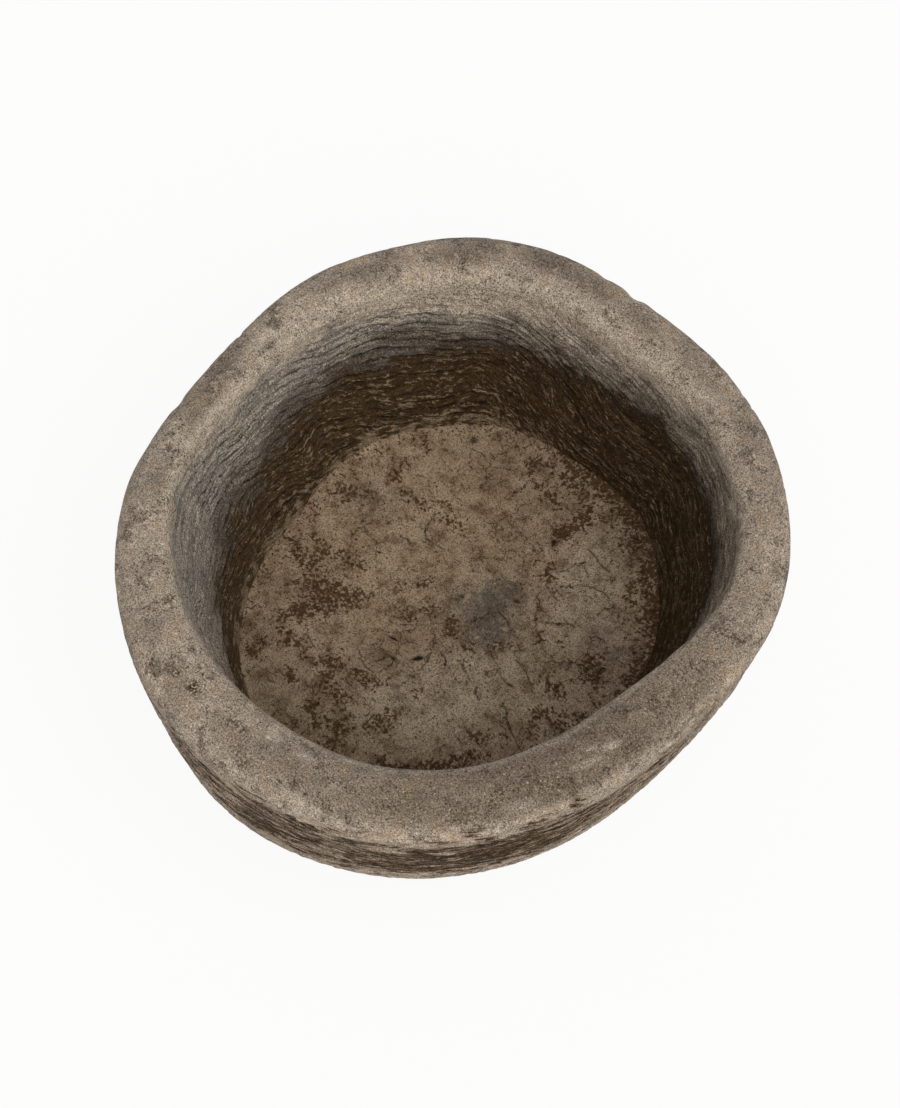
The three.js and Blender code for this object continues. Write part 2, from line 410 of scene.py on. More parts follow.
def carve(sections, sizes):
    """The sections after dressing, wear and chipping, and the named shares that the stone's
    material reads. Every mark goes into the stone, so the block keeps inside its solid."""
    columns, rows = sections.shape[:2]
    normal, onward = outward(sections)
    place = regions(sections, normal)
    round_step = 2 * math.pi * sections[..., 0].mean() / columns
    lumps = noise_over((columns, rows), (round_step, along_sections(sections)[-1] / rows))
    level = place.down + round_the_trough(LEDGE_RISE, place) * MM * place.inside
    course, strength, ledges = tool_ledges(lumps, level, sizes.ledge_pitch, 100)
    nicks = tool_ledges(lumps, level, sizes.nick_pitch, 200)[2]
    seen = seen_at(*turned(sections))
    silty = mark_share(*seen, RIM_SILT) * place.crown
    notches = mark_share(*seen, BROW_NOTCHES)
    chips = np.clip(lumps((1, 44, 34, 27)) - 1.1, 0, 1)
    chips += 0.7 * np.clip(lumps((1, 22, 20, 30)) - 0.9, 0, 1)
    spalls = np.clip(lumps((1, 60, 26, 28)) - 0.6, 0, 1.2)
    foot = place.outer * (1 - smooth(place.height, 4 * MM, 20 * MM))

    depth = sizes.wear_depth * (1.1 + lumps((0.4, 130, 80, 23))) * (1 - 0.7 * place.walls)
    depth += place.walls * (sizes.ledge_depth * ledges + sizes.nick_depth * nicks)
    depth += place.walls * lumps((0.25 * MM, 16, 9, 21))
    depth += sizes.rim_lumps * lumps((0.6, 70, 60, 24), (0.35, 26, 24, 25)) * (0.2 + 0.8 * place.crown)
    depth += SILT_PIT_DEPTH * silty
    depth += place.brow * (sizes.chip_depth * chips + NOTCH_DEPTH * notches)
    depth += sizes.chip_depth * spalls * foot
    depth = np.clip(depth, 0, DEEPEST) * smooth(place.height, 0, 3 * MM)
    lean = place.walls * lumps((0.4 * MM, 20, 9, 29))
    carved = sections - normal * depth[..., None] + onward * lean[..., None]
    carved[..., 1] = np.clip(carved[..., 1], 0, RIM_TOP - CROWN_CLEAR)
    shares = {
        "course": course,
        "chip": np.clip(chips * 0.5 + notches, 0, 1) * place.brow,
        "rim_silt": silty,
        **stone_shares(lumps, place, seen, strength),
        **hollow_bands(lumps, place),
    }
    return carved, shares


# Where the photograph shows marks, in its pixels: across, down, half length, half width, the turn of
# the length from level in degrees, and strength.
BROW_NOTCHES = [
    (634, 298, 7, 5, 40, 1.0), (604, 279, 5, 4, 30, 0.5), (655, 316, 5, 4, 40, 0.4),
    (243, 317, 6, 4, -40, 0.5), (176, 402, 6, 4, -58, 0.5),
]
RIM_LICHEN = [
    (462, 256, 30, 8, -3, 0.9), (486, 246, 16, 8, 10, 0.8), (549, 262, 24, 9, 22, 0.95),
    (590, 284, 26, 9, 30, 0.85), (640, 322, 22, 8, 42, 0.6), (370, 270, 34, 7, -16, 0.6),
    (330, 284, 14, 8, -26, 0.5), (216, 384, 29, 8, -62, 1.0), (196, 415, 14, 9, -60, 0.7),
    (232, 350, 16, 8, -50, 0.5), (160, 480, 16, 10, -68, 0.5), (148, 560, 10, 16, 0, 0.2),
    (152, 630, 11, 20, 8, 0.3), (175, 690, 12, 16, 30, 0.45), (232, 735, 30, 11, 42, 0.4),
    (290, 770, 26, 10, 34, 0.45), (400, 806, 40, 10, 12, 0.35), (480, 812, 44, 11, -2, 0.5),
    (560, 792, 30, 10, -16, 0.5), (640, 745, 26, 10, -40, 0.45), (700, 372, 28, 9, 46, 0.5),
    (745, 428, 20, 8, 58, 0.4), (775, 520, 14, 9, 70, 0.3), (790, 640, 8, 18, 20, 0.35),
]
RIM_SILT = [
    (185, 497, 5, 3.5, 0, 0.9), (193, 518, 5, 4, 30, 0.8), (168, 447, 3, 2.5, 0, 0.7),
    (176, 672, 5, 4, 0, 1.0), (193, 688, 7, 5, 20, 1.1), (233, 722, 7, 4, 10, 0.8),
    (243, 727, 5, 4, 30, 0.8), (243, 763, 7, 5, 50, 0.7), (237, 752, 4, 6, 0, 0.5),
    (172, 655, 3, 3, 0, 0.7), (217, 437, 3, 2, 0, 0.7), (625, 710, 3, 3, 0, 0.6),
    (610, 727, 4, 3, 0, 0.6), (722, 680, 3, 2, 60, 0.7),
]
RIM_SCUFFS = [
    (398, 840, 9, 2.5, -4, 0.8), (322, 816, 26, 3, 27, 1.2), (296, 797, 12, 3, 34, 0.6),
    (520, 806, 16, 5, -12, 0.5), (612, 745, 8, 3, -20, 0.9), (590, 748, 7, 2, -10, 0.7),
    (586, 764, 12, 3, -25, 0.6), (187, 656, 5, 4, 20, 0.7), (191, 625, 5, 2, 0, 0.6),
    (272, 735, 7, 5, 10, 0.7), (305, 757, 9, 3, 24, 0.6), (248, 722, 4, 4, 0, 0.5),
    (702, 395, 10, 6, 50, 0.5), (715, 400, 6, 5, 0, 0.4), (262, 338, 12, 5, -46, 0.4),
]
# What the stone's material reads from the mesh.
STONE_SHARES = ("course", "ledge", "line", "wall", "dry", "outer_stain", "rim_grime", "grey_side", "chip",
                "rim_lichen", "rim_silt", "rim_scuff", "film", "damp", "above_silt", "fleck", "dust",
                "smear")
# The bed under the screed: a hair below its underside, and a little in from the wall's foot.
BED_GAP = 0.3 * MM
BED_SHARE = 0.96
# Heights at which the strips of the block's faces end on the sheet that its finish is baked on.
UNDERSIDE_STRIP, FACE_STRIP, DROP_STRIP, BED_STRIP = 0.06, 0.9, 0.92, 0.96


def mark_share(across, down, marks):
    """How much of a mark lies at each pixel: 1 and over inside it, falling away round it."""
    share = np.zeros_like(across)
    for u, v, long, wide, turn, strength in marks:
        cos, sin = math.cos(math.radians(turn)), math.sin(math.radians(turn))
        du, dv = across - u, down - v
        reach = ((du * cos + dv * sin) / long) ** 2 + ((dv * cos - du * sin) / wide) ** 2
        share = np.maximum(share, strength * np.exp(-0.5 * reach ** 1.3))
    return share


def placed(name, data):
    """A new object in the scene."""
    made = bpy.data.objects.new(name, data)
    bpy.context.scene.collection.objects.link(made)
    return made


def new_piece(name, points, faces, shares, corners, material):
    """A mesh object from its points, its faces, the shares of its first points, its corners' places
    on the sheet that its finish is baked on, and its material."""
    mesh = bpy.data.meshes.new(name)
    mesh.from_pydata(points.tolist(), [], faces)
    for share_name, values in shares.items():
        padded = np.zeros(len(points), np.float32)
        padded[:values.size] = values.ravel()
        mesh.attributes.new(share_name, "FLOAT", "POINT").data.foreach_set("value", padded)
    sheet = mesh.uv_layers.new(name="OFBake")
    sheet.data.foreach_set("uv", np.concatenate(corners).astype(np.float32).ravel())
    mesh.shade_smooth()
    mesh.validate()
    mesh.materials.append(material)
    return placed(name, mesh)


def ring_grid(columns, heights):
    """The four-sided faces of a grid of columns that closes round on itself, and where their
    corners lie on the sheet, with the rows at these heights of it."""
    rows = len(heights)
    column, row = np.meshgrid(np.arange(columns), np.arange(rows - 1), indexing="ij")
    start, after = column * rows + row, (column + 1) % columns * rows + row
    faces = np.stack([start, after, after + 1, start + 1], axis=2)
    across = np.stack([column, column + 1, column + 1, column], axis=2) / columns
    up = np.asarray(heights)[np.stack([row, row, row + 1, row + 1], axis=2)]
    return faces.reshape(-1, 4), np.stack([across, up], axis=3).reshape(-1, 2)


def fan(hub, rim, flipped):
    """Three-sided faces from a ring of points to the point in its middle."""
    pairs = zip(rim.tolist(), np.roll(rim, -1).tolist())
    return [(hub, b, a) if flipped else (hub, a, b) for a, b in pairs]


def fan_sheet(count, low, high):
    """Where the corners of such a fan lie on the sheet, as a strip between two heights of it."""
    step = 1 / count
    starts = np.arange(count) / count
    corners = [((start + step / 2, low), (start, high), (start + step, high)) for start in starts]
    return np.array(corners).reshape(-1, 2)


def stone_block(sizes, material):
    """The block of stone, from its flat underside over the rim and down to the screed's bed."""
    sections, shares = carve(block_sections(sizes.columns), sizes)
    shares = {name: np.pad(values, ((0, 0), (0, 1))) for name, values in shares.items()}
    face = np.stack(turned(sections), axis=2)
    columns, rows = face.shape[:2]
    bed = SCREED_BASE - BED_GAP
    bed_edge = face[:, -1:] * (BED_SHARE, BED_SHARE, 0) + (0, 0, bed)
    grid = np.concatenate([face, bed_edge], axis=1)
    points = np.concatenate([grid.reshape(-1, 3), [(0, 0, 0), (0, 0, bed)]])
    heights = np.append(np.linspace(UNDERSIDE_STRIP, FACE_STRIP, rows), DROP_STRIP)
    faces, face_sheet = ring_grid(columns, heights)
    foot = np.arange(columns) * (rows + 1)
    fans = fan(len(points) - 2, foot, True) + fan(len(points) - 1, foot + rows, False)
    corners = [face_sheet, fan_sheet(columns, 0, UNDERSIDE_STRIP),
               fan_sheet(columns, BED_STRIP, DROP_STRIP)]
    return new_piece("stone_block", points, faces.tolist() + fans, shares, corners, material)


# The screed's marks, where the photograph shows them, in the same way as the rim's.
SCREED_SILT = [
    (425, 444, 8, 4, 85, 0.7), (394, 476, 7, 4, 10, 1.2), (402, 466, 7, 3, -60, 0.9),
    (416, 499, 15, 3.5, 33, 1.1), (432, 493, 7, 4, 60, 0.8), (450, 506, 12, 2.5, 24, 0.8),
    (454, 523, 13, 4, 32, 1.0), (347, 490, 11, 6, 20, 0.9), (335, 483, 8, 4, 0, 0.6),
    (366, 496, 14, 9, 20, 0.45), (356, 534, 4, 3, 40, 0.9), (291, 542, 10, 3, 38, 1.2),
    (298, 555, 6, 9, -20, 1.2), (322, 542, 11, 2, 40, 1.2), (319, 555, 16, 12, 10, 0.75),
    (342, 554, 6, 2, 30, 1.1), (361, 550, 5, 1.5, -20, 0.9), (358, 564, 5, 7, 0, 1.1),
    (346, 562, 7, 4, 0, 0.8), (316, 572, 8, 9, 20, 0.8), (327, 588, 22, 7, 8, 1.05),
    (357, 590, 15, 5, 10, 0.9), (295, 581, 6, 5, 0, 0.8), (423, 583, 5, 8, 10, 0.8),
    (431, 578, 9, 1.5, 42, 0.9), (400, 584, 6, 4, 0, 0.6), (327, 599, 24, 9, 2, 1.1),
    (352, 598, 10, 6, 0, 1.05), (299, 611, 17, 6, -16, 1.1), (319, 610, 14, 8, 0, 1.0),
    (282, 619, 6, 7, 0, 1.1), (285, 635, 6, 7, 20, 1.1), (299, 643, 9, 4, 10, 1.0),
    (307, 653, 5, 7, 0, 0.9), (254, 649, 6, 10, 10, 0.95), (262, 647, 7, 6, 0, 0.9),
    (289, 673, 5, 6, 0, 1.1), (330, 664, 14, 11, 10, 0.8), (327, 679, 8, 7, 0, 1.05),
    (338, 697, 9, 7, 40, 1.05), (356, 673, 10, 4, 8, 1.0), (369, 682, 9, 5, 10, 1.0),
    (386, 680, 6, 5, 0, 0.7), (313, 713, 14, 4.5, 74, 1.1), (295, 726, 6, 3.5, 20, 1.1),
    (338, 723, 15, 10, 0, 0.8), (380, 723, 14, 9, -20, 0.8), (394, 712, 9, 7, -40, 0.6),
    (421, 691, 8, 4, 0, 0.6), (406, 615, 11, 7, -10, 0.8), (429, 610, 10, 5, -20, 0.8),
    (450, 629, 8, 7, 30, 0.95), (387, 762, 8, 6, 30, 1.1), (420, 768, 36, 3.5, 0, 1.1),
    (330, 742, 14, 8, 20, 0.7), (455, 761, 12, 3, -8, 1.3), (476, 757, 12, 2.5, -8, 1.2),
    (477, 737, 9, 4, 0, 0.85), (467, 645, 6, 4, 20, 0.8), (500, 646, 14, 3, -4, 0.8),
    (534, 464, 5, 11, 10, 0.95), (550, 493, 15, 5, 40, 1.05), (573, 482, 11, 10, 30, 0.9),
    (585, 497, 8, 8, 30, 0.85), (568, 529, 13, 8, -25, 1.5), (584, 516, 10, 6, -55, 1.3),
    (548, 574, 5, 8, 15, 1.4), (556, 588, 4, 7, -10, 0.7), (535, 557, 7, 5, 0, 0.6),
    (607, 521, 12, 4, 30, 0.6), (628, 545, 14, 12, 30, 0.6), (631, 594, 4, 9, 0, 1.3),
    (650, 603, 4, 12, -6, 1.15), (639, 617, 9, 7, -30, 0.95), (595, 672, 9, 14, 10, 1.2),
    (588, 661, 4, 8, 0, 1.0), (600, 682, 8, 4, 10, 1.0), (549, 684, 4, 9, -6, 1.4),
    (561, 690, 6, 8, 0, 0.7), (543, 714, 14, 6, -10, 0.9), (560, 722, 10, 7, 0, 0.8),
    (533, 730, 8, 10, 0, 0.7), (578, 720, 10, 5, -30, 0.9), (495, 735, 12, 5, 0, 0.5),
    (560, 640, 5, 5, 30, 0.7), (541, 638, 3, 7, 10, 0.9),
]
# How much silt has washed over the screed's edge, as a share at bearings in degrees.
SCREED_EDGE_SILT = [
    (0, 1.1), (30, 1.1), (48, 1), (62, 0.5), (100, 0.35), (150, 0.4), (190, 0.3), (215, 0.1), (255, 0.1),
    (300, 0.4), (340, 0.9),
]
SCREED_GREY = [
    (492, 606, 22, 20, 0, 1.1), (508, 588, 14, 9, 20, 1.1), (482, 628, 15, 14, 10, 1.1),
    (500, 636, 14, 12, -10, 1.2), (466, 604, 16, 14, 0, 1.0), (600, 640, 20, 26, 0, 0.3),
    (640, 552, 22, 16, 40, 0.45), (372, 500, 20, 14, 10, 0.4),
]
# Where the screed is painted paler: painted light on the front and right of the hollow's floor.
SCREED_PAINTED_LIGHT = [
    (430, 712, 62, 34, 0, 1.0), (470, 668, 56, 20, 0, 0.9), (588, 605, 32, 60, 0, 0.9),
    (560, 700, 50, 30, -20, 0.6),
]
SCREED_PITS = [
    (517, 600, 3.4, 2, 24, 0.9), (462, 595, 2, 1.8, 0, 0.8), (418, 657, 4.5, 1.7, -8, 1.5),
    (392, 656, 8, 1, 28, 0.8), (393, 637, 5, 1.1, 26, 1.1), (474, 440, 4, 2.5, 0, 0.8),
    (554, 541, 3, 3, 0, 1.0), (393, 657, 3, 1.5, 30, 1.0), (510, 684, 4, 1, 30, 1.0),
]
# The screed's plainest cracks, each through some of the photograph's pixels.
SCREED_CRACKS = [
    [(358, 648), (360, 656), (364, 664), (368, 668), (373, 671)],
    [(434, 633), (433, 645), (428, 656), (421, 668), (414, 675), (406, 681), (400, 686)],
    [(436, 512), (431, 518), (427, 525), (425, 531), (429, 540)], [(411, 543), (407, 538), (400, 535)],
    [(498, 610), (504, 616), (508, 622), (511, 629)],
    [(538, 604), (535, 612), (535, 622), (537, 632), (541, 638), (541, 648)],
    [(545, 621), (553, 622), (562, 624), (570, 623), (575, 627)],
    [(563, 586), (573, 585), (583, 584), (594, 587), (603, 591), (609, 597)],
    [(561, 571), (570, 567), (577, 563), (585, 561)], [(588, 548), (596, 557), (602, 566), (611, 572)],
    [(597, 613), (604, 608), (611, 607), (613, 604)],
    [(508, 499), (513, 494), (520, 488), (529, 481), (535, 478)],
    [(517, 660), (524, 668), (529, 677), (532, 684)], [(478, 685), (476, 692), (478, 698)],
    [(504, 702), (506, 712), (507, 722), (512, 732), (517, 742), (521, 750)],
    [(496, 521), (495, 530), (497, 540)], [(561, 663), (572, 661), (582, 664), (590, 670)],
    [(440, 650), (446, 660), (444, 668)], [(373, 661), (381, 658), (388, 656)],
]
# In the same pixels: what the screed covers, and how wide its cracks and its stray hairlines are.
SCREED_SEEN = ((265, 430), (655, 770))
CRACK_WIDTH, HAIR_WIDTH = 1.3, 1.1
HAIR_COUNT = 170

# How the screed lies: its dish, what the trowel and wear took off it, how far it laps up the wall
# and over what share of its radius, and how deep its pits, cracks and stained places are.
SCREED_DISH = 1.5 * MM
TROWEL_LOSS = 0.8 * MM
LAP_HEIGHT = 1.5 * MM
LAP_GAP = 0.1 * MM
LAP_FROM = 0.955
BASE_SHARE = 0.985
PIT_DEPTH = 1.4 * MM
CRACK_DEPTH = 0.6 * MM
STAIN_DEPTH = 0.4 * MM
# Heights on the screed's sheet: of its top's square, its side's strip and its underside's.
TOP_SHEET = 0.9
SIDE_SHEET = (0.92, 0.96)
UNDER_SHEET = (1, 0.97)

SCREED_SHARES = ("silt", "pit", "crack", "grey", "pale")


def crack_share(across, down, cracks, width):
    """How near each pixel is to a crack: 1 along it, 0 a width away."""
    share = np.zeros_like(across)
    for crack in cracks:
        for (u0, v0), (u1, v1) in zip(crack, crack[1:]):
            du, dv = u1 - u0, v1 - v0
            along = ((across - u0) * du + (down - v0) * dv) / (du ** 2 + dv ** 2)
            along = along.clip(0, 1)
            gap = np.hypot(across - u0 - along * du, down - v0 - along * dv)
            share = np.maximum(share, 1 - gap / width)
    return share


def stray_cracks(count, seed):
    """Short wandering hairlines at seeded places of the screed, in the photograph's pixels."""
    chance = np.random.default_rng(seed)
    cracks = []
    for _ in range(count):
        spot = chance.uniform(*SCREED_SEEN)
        heading = chance.uniform(0, math.pi)
        crack = [tuple(spot)]
        for _ in range(chance.integers(2, 8)):
            heading += chance.normal(0, 0.5)
            spot = spot + chance.uniform(2, 5) * np.array([math.cos(heading), math.sin(heading)])
            crack.append(tuple(spot))
        cracks.append(crack)
    return cracks


def disc_grid(cells):
    """A square grid bent to a disc: each point's share of the way out and its bearing."""
    side = np.linspace(-1, 1, cells + 1)
    a, b = np.meshgrid(side, side, indexing="ij")
    reach = np.maximum(np.abs(a), np.abs(b))
    level = np.abs(a) >= np.abs(b)
    long, short = np.where(level, a, b), np.where(level, b, a)
    slant = math.pi / 4 * short / np.where(long == 0, 1, long)
    bearing = np.where(level, slant, math.pi / 2 - slant) + np.where(long < 0, math.pi, 0)
    return reach, np.mod(bearing, 2 * math.pi)


def wall_radii(tree, height):
    """The dressed wall's radius at a height, at even bearings."""
    count = TRACED_BEARINGS * 4
    bearings = np.arange(count) * 2 * math.pi / count
    return bearings, np.array([probe(tree, b, 0, height, 0)[0] for b in bearings])


def screed_marks(x, y, reach, bearing, lumps):
    """The silt, pits, cracks, grey patches and painted light of the screed's paler places, as shares of
    each point.
    """
    across, down = seen_at(x, y, np.full(x.shape, SCREED_TOP))
    stray = lumps((2.4, 26, 26, 35), (1.4, 9, 9, 45))
    stray_too = lumps((2.4, 26, 26, 36), (1.4, 9, 9, 46))
    shaky = lumps((0.9, 11, 11, 37))
    cracks = crack_share(across + shaky, down + shaky, SCREED_CRACKS, CRACK_WIDTH)
    hairs = crack_share(across + shaky, down + shaky, stray_cracks(HAIR_COUNT, 38), HAIR_WIDTH)
    fading = np.clip(0.55 + lumps((0.45, 40, 40, 39)), 0.1, 1)
    washed = np.interp(np.degrees(bearing), *zip(*SCREED_EDGE_SILT), period=360)
    washed = washed * smooth(reach + 0.01 * stray, 0.86, 0.97)
    silt = mark_share(across + stray, down + stray_too, SCREED_SILT)
    return {
        "silt": np.maximum(silt, washed),
        "pit": np.clip(mark_share(across, down, SCREED_PITS), 0, 1),
        "crack": np.maximum(cracks, hairs * fading),
        "grey": mark_share(across + 2 * stray, down + 2 * stray_too, SCREED_GREY),
        # Painted light: the paler places of the screed's front and right.
        "pale": mark_share(across + 2 * stray, down + 2 * stray_too, SCREED_PAINTED_LIGHT),
    }


def screed_sheet(cells, top, count):
    """Where the corners of the screed's faces lie on its sheet: the top's, the side's and the
    underside's."""
    share = np.linspace(0, 1, cells + 1)
    flat = np.stack(np.meshgrid(share, share * TOP_SHEET, indexing="ij"), axis=2).reshape(-1, 2)
    side = ring_grid(count, SIDE_SHEET)[1].reshape(-1, 4, 2)
    return [flat[top.ravel()], np.roll(side, 1, axis=1).reshape(-1, 2), fan_sheet(count, *UNDER_SHEET)]


def screed_layer(sizes, block, material):
    """The screed: a trowelled top that laps a little up the dressed wall, over a flat bed."""
    reach, bearing = disc_grid(sizes.cells)
    bearings, radii = wall_radii(solid_tree(block.data), SCREED_TOP + LAP_HEIGHT)
    edge = np.interp(bearing, bearings, radii, period=2 * math.pi) - LAP_GAP
    x = reach * edge * np.cos(bearing)
    y = reach * edge * np.sin(bearing)
    lumps = noise_over(reach.shape, (2 * radii.mean() / sizes.cells,) * 2)
    marks = screed_marks(x, y, reach, bearing, lumps)
    swell = lumps((0.6, 260, 200, 31), (0.3, 70, 50, 32), (0.15, 18, 18, 33))
    lap = smooth(reach, LAP_FROM, 1) ** 2
    ragged = 1 + lumps((0.5, 40, 40, 34))
    z = SCREED_TOP - TROWEL_LOSS - SCREED_DISH * (1 - reach ** 2)
    z += sizes.trowel_swell * swell * (1 - lap) + lap * LAP_HEIGHT * ragged
    z -= PIT_DEPTH * marks["pit"] + CRACK_DEPTH * marks["crack"]
    z -= STAIN_DEPTH * smooth(marks["silt"], 0.4, 1)

    points = np.stack([x, y, z], axis=2).reshape(-1, 3)
    index = np.arange(len(points)).reshape(reach.shape)
    rim = np.concatenate([index[:-1, 0], index[-1, :-1], index[:0:-1, -1], index[0, :0:-1]])
    under = points[rim] * np.array([BASE_SHARE, BASE_SHARE, 0]) + np.array([0, 0, SCREED_BASE])
    below = len(points) + np.arange(len(rim))
    points = np.concatenate([points, under, [[0, 0, SCREED_BASE]]])
    top = np.stack([index[:-1, :-1], index[1:, :-1], index[1:, 1:], index[:-1, 1:]], axis=2)
    side = np.stack([rim, below, np.roll(below, -1), np.roll(rim, -1)], axis=1)
    faces = top.reshape(-1, 4).tolist() + side.tolist() + fan(len(points) - 1, below, True)
    corners = screed_sheet(sizes.cells, top, len(rim))
    return new_piece("screed_layer", points, faces, marks, corners, material)


# Materials

# Kinds of nodes with their settings.
EVEN = ("MapRange", {})
SOFT = ("MapRange", {"interpolation_type": "SMOOTHSTEP"})
BLEND = ("Mix", {"data_type": "RGBA"})
TINT = ("Mix", {"data_type": "RGBA", "blend_type": "MULTIPLY"})
TIMES = ("Math", {"operation": "MULTIPLY"})
PLUS = ("Math", {"operation": "ADD"})
LESS = ("Math", {"operation": "SUBTRACT"})
MOST = ("Math", {"operation": "MAXIMUM"})
APART = ("Math", {"operation": "ABSOLUTE"})
PART = ("Math", {"operation": "FRACT"})
# A turn that no flat face of the trough lies along, so that no noise shows its own grid there.
ASLANT = (0.6, 0.4, 0.9)


def adder(tree):
    """The function that adds nodes to a tree."""
    def add(kind, *inputs, out=None, **settings):
        """Adds a node with its settings and links, and gives one of its outputs: the first in use,
        or the one named. Inputs come in order, or by name in a dictionary. Each is a value, the
        output that feeds it, or a tuple: a pattern, the values between which it softly rises from
        0 to 1, and perhaps the two to use for these. More than two are joined one after another."""
        name, usual = kind if isinstance(kind, tuple) else (kind, {})
        if name == "Math" and len(inputs) > 2:
            inputs = (add(kind, *inputs[:-1]), inputs[-1])
        made = tree.nodes.new("ShaderNode" + name)
        for setting, value in {**usual, **settings}.items():
            setattr(made, setting, value)
        in_use = [socket for socket in made.inputs if socket.enabled]
        pairs = zip(in_use, inputs)
        if inputs and isinstance(inputs[0], dict):
            named = {socket.name: socket for socket in reversed(in_use)}
            pairs = [(named[name], value) for name, value in inputs[0].items()]
        for socket, value in pairs:
            if isinstance(value, tuple) and isinstance(value[0], bpy.types.NodeSocket):
                value = add(SOFT, *value)
            if isinstance(value, bpy.types.NodeSocket):
                tree.links.new(value, socket)
            else:
                socket.default_value = (*value[:3], 1) if socket.type == "RGBA" else value
        return made.outputs[out] if out else next(iter(s for s in made.outputs if s.enabled), None)
    return add


def laid_over(add, face, *layers):
    """A face with layers over it: each a colour, and the shares whose product says how thick it is."""
    for tone, *shares in layers:
        amount = add(TIMES, *shares) if len(shares) > 1 else shares[0]
        face = add(BLEND, amount, face, tone)
    return face


def new_material(name):
    """An empty material, and the function that adds nodes to it."""
    material = bpy.data.materials.new(name)
    material.use_nodes = True
    material.node_tree.nodes.clear()
    return material, adder(material.node_tree)


def matt_finish(add, face, shade, rough, relief, strength, height):
    """Ends a material: a matt surface with that face under a grainy shade, roughness and relief."""
    face = add(TINT, 1.0, face, add("CombineColor", shade, shade, shade))
    bump = add("Bump", {"Height": relief, "Strength": strength, "Distance": height})
    shader = add("BsdfPrincipled", {"Base Color": face, "Roughness": rough, "IOR": 1.5,
                                    "Specular IOR Level": 0.1, "Normal": bump})
    add("OutputMaterial", {"Surface": shader})


def course_marks(add, marks, noise):
    """Adds to the marks the ledges' edges, with their painted highlight, and the dark lines of painted
    shadow under them, course over course, with a second, fainter set of lines between them."""
    course = add(PLUS, marks.course, add(EVEN, noise.spots, 0, 1, -0.25, 0.25))
    share = add(PART, course)
    # The ledges' edges: a painted highlight on the stone, and worn places in the silt over them.
    marks.ledge_edge = add(TIMES, (share, 0.55, 0.95), marks.ledge)
    between = add(PART, add(TIMES, course, 2.6))
    lines = []
    for place, middle, half_width, plain in ((share, 0.12, 0.21, 1), (between, 0.4, 0.3, 0.45)):
        gap = add(APART, add(LESS, place, middle))
        lines.append((gap, half_width, 0.25 * half_width, 0, plain))
    # The dark lines under the ledges are painted shadow.
    marks.ledge_line = add(TIMES, add(MOST, *lines), marks.line)


def stone_face(add, marks, noise, colours):
    """The stone itself, warm and grey by turns, with clay-coloured patches, lichen and grime on
    the rim, clean high walls and a painted highlight on the ledges' edges."""
    sided = add(PLUS, noise.patches, add(TIMES, marks.grey_side, 0.07))
    lichen = add(TIMES, marks.rim_lichen, (noise.spots, 0.4, 0.54, 0.24, 0.96))
    lichen = add(MOST, lichen, (noise.blotches, 0.46, 0.4, 0, 0.6))
    return laid_over(
        add, colours.warm_stone,
        (colours.grey_stone, (sided, 0.38, 0.62)),
        (colours.clay_stone, (noise.blotches, 0.53, 0.61, 0, 0.65)),
        (colours.lichen, lichen),
        (colours.dirty_stone, marks.rim_grime, (noise.spots, 0.34, 0.6, 0.45, 0.95)),
        (colours.dry_stone, marks.dry, 0.75),
        # Painted highlight: pale stone along the ledges' edges.
        (colours.pale_stone, marks.ledge_edge, 0.38),
    )


def water_marks(add, marks, noise, face, colours):
    """What water left in the hollow: a grey film and its pale bloom, a dark band, a chalky and tan
    wall where the silt is dustiest, and a soaked line over the silt."""
    cool = add(EVEN, marks.dust, 0, 0.6, 0.15, 1)
    water = laid_over(add, colours.dirty_stone, (colours.water_film, cool))
    dusty = add(EVEN, marks.dust, 0.95, 1.3, 0.08, 1)
    chalky = add(TIMES, dusty, marks.film)
    soaked = add(EVEN, marks.dust, 0, 0.6, 1, 0.5)
    return laid_over(
        add, face,
        (water, (noise.streaks, 0.38, 0.58, 0.45, 1), marks.film),
        (colours.pale_stone, (noise.fibres, 0.54, 0.64, 0, 0.4), marks.film),
        (colours.damp_stone, (noise.streaks, 0.62, 0.42, 0.7, 1), marks.damp),
        (colours.pale_stone, chalky, 0.52),
        (colours.lime_stain, (marks.above_silt, 70 * MM, 15 * MM, 0, 0.6), chalky),
        (colours.shade, (marks.above_silt, 14 * MM, 0, 0, 0.8), soaked),
    )


def flecked_silt(add, marks, noise, colours):
    """The brown silt: thick and thin by turns, dusty, and worn to bare stone in flecks, along the
    ledges and in fine streaks."""
    raised = add(PLUS, noise.flecks, add(TIMES, marks.ledge_edge, 0.05))
    bare = add(LESS, raised, add(EVEN, marks.fleck, 0, 1, 0.6, 0.49))
    rubbed = add(TIMES, (noise.streaks, 0.5, 0.64, 0, 0.2), marks.ledge_edge)
    combed = add(EVEN, marks.dust, 0, 0.4, 1, 0.15)
    drawn = add(TIMES, (noise.fibres, 0.5, 0.64, 0, 0.36), combed)
    return laid_over(
        add, [0.6 * c for c in colours.silt],
        (colours.silt, (noise.spots, 0.36, 0.6)),
        (colours.fleck, marks.dust, 0.12),
        (colours.fleck, add(MOST, (bare, 0, 0.03, 0, 0.66), rubbed, drawn)),
    )


def silt_cover(add, marks, noise, face, colours):
    """Lays the silt over the foot of the hollow's wall, up to a frayed top, with smears of lime."""
    wavy = add(EVEN, noise.streaks, 0, 1, -45 * MM, 45 * MM)
    frayed = add(EVEN, noise.fibres, 0, 1, -40 * MM, 40 * MM)
    marks.dirt = add(SOFT, add(PLUS, marks.above_silt, wavy, frayed), 3 * MM, -4 * MM)
    smear = add(LESS, noise.fibres, add(EVEN, marks.smear, 0, 1, 0.82, 0.3))
    silt = flecked_silt(add, marks, noise, colours)
    return laid_over(add, face, (silt, marks.dirt), (colours.fleck, (smear, 0, 0.1, 0, 0.7)))


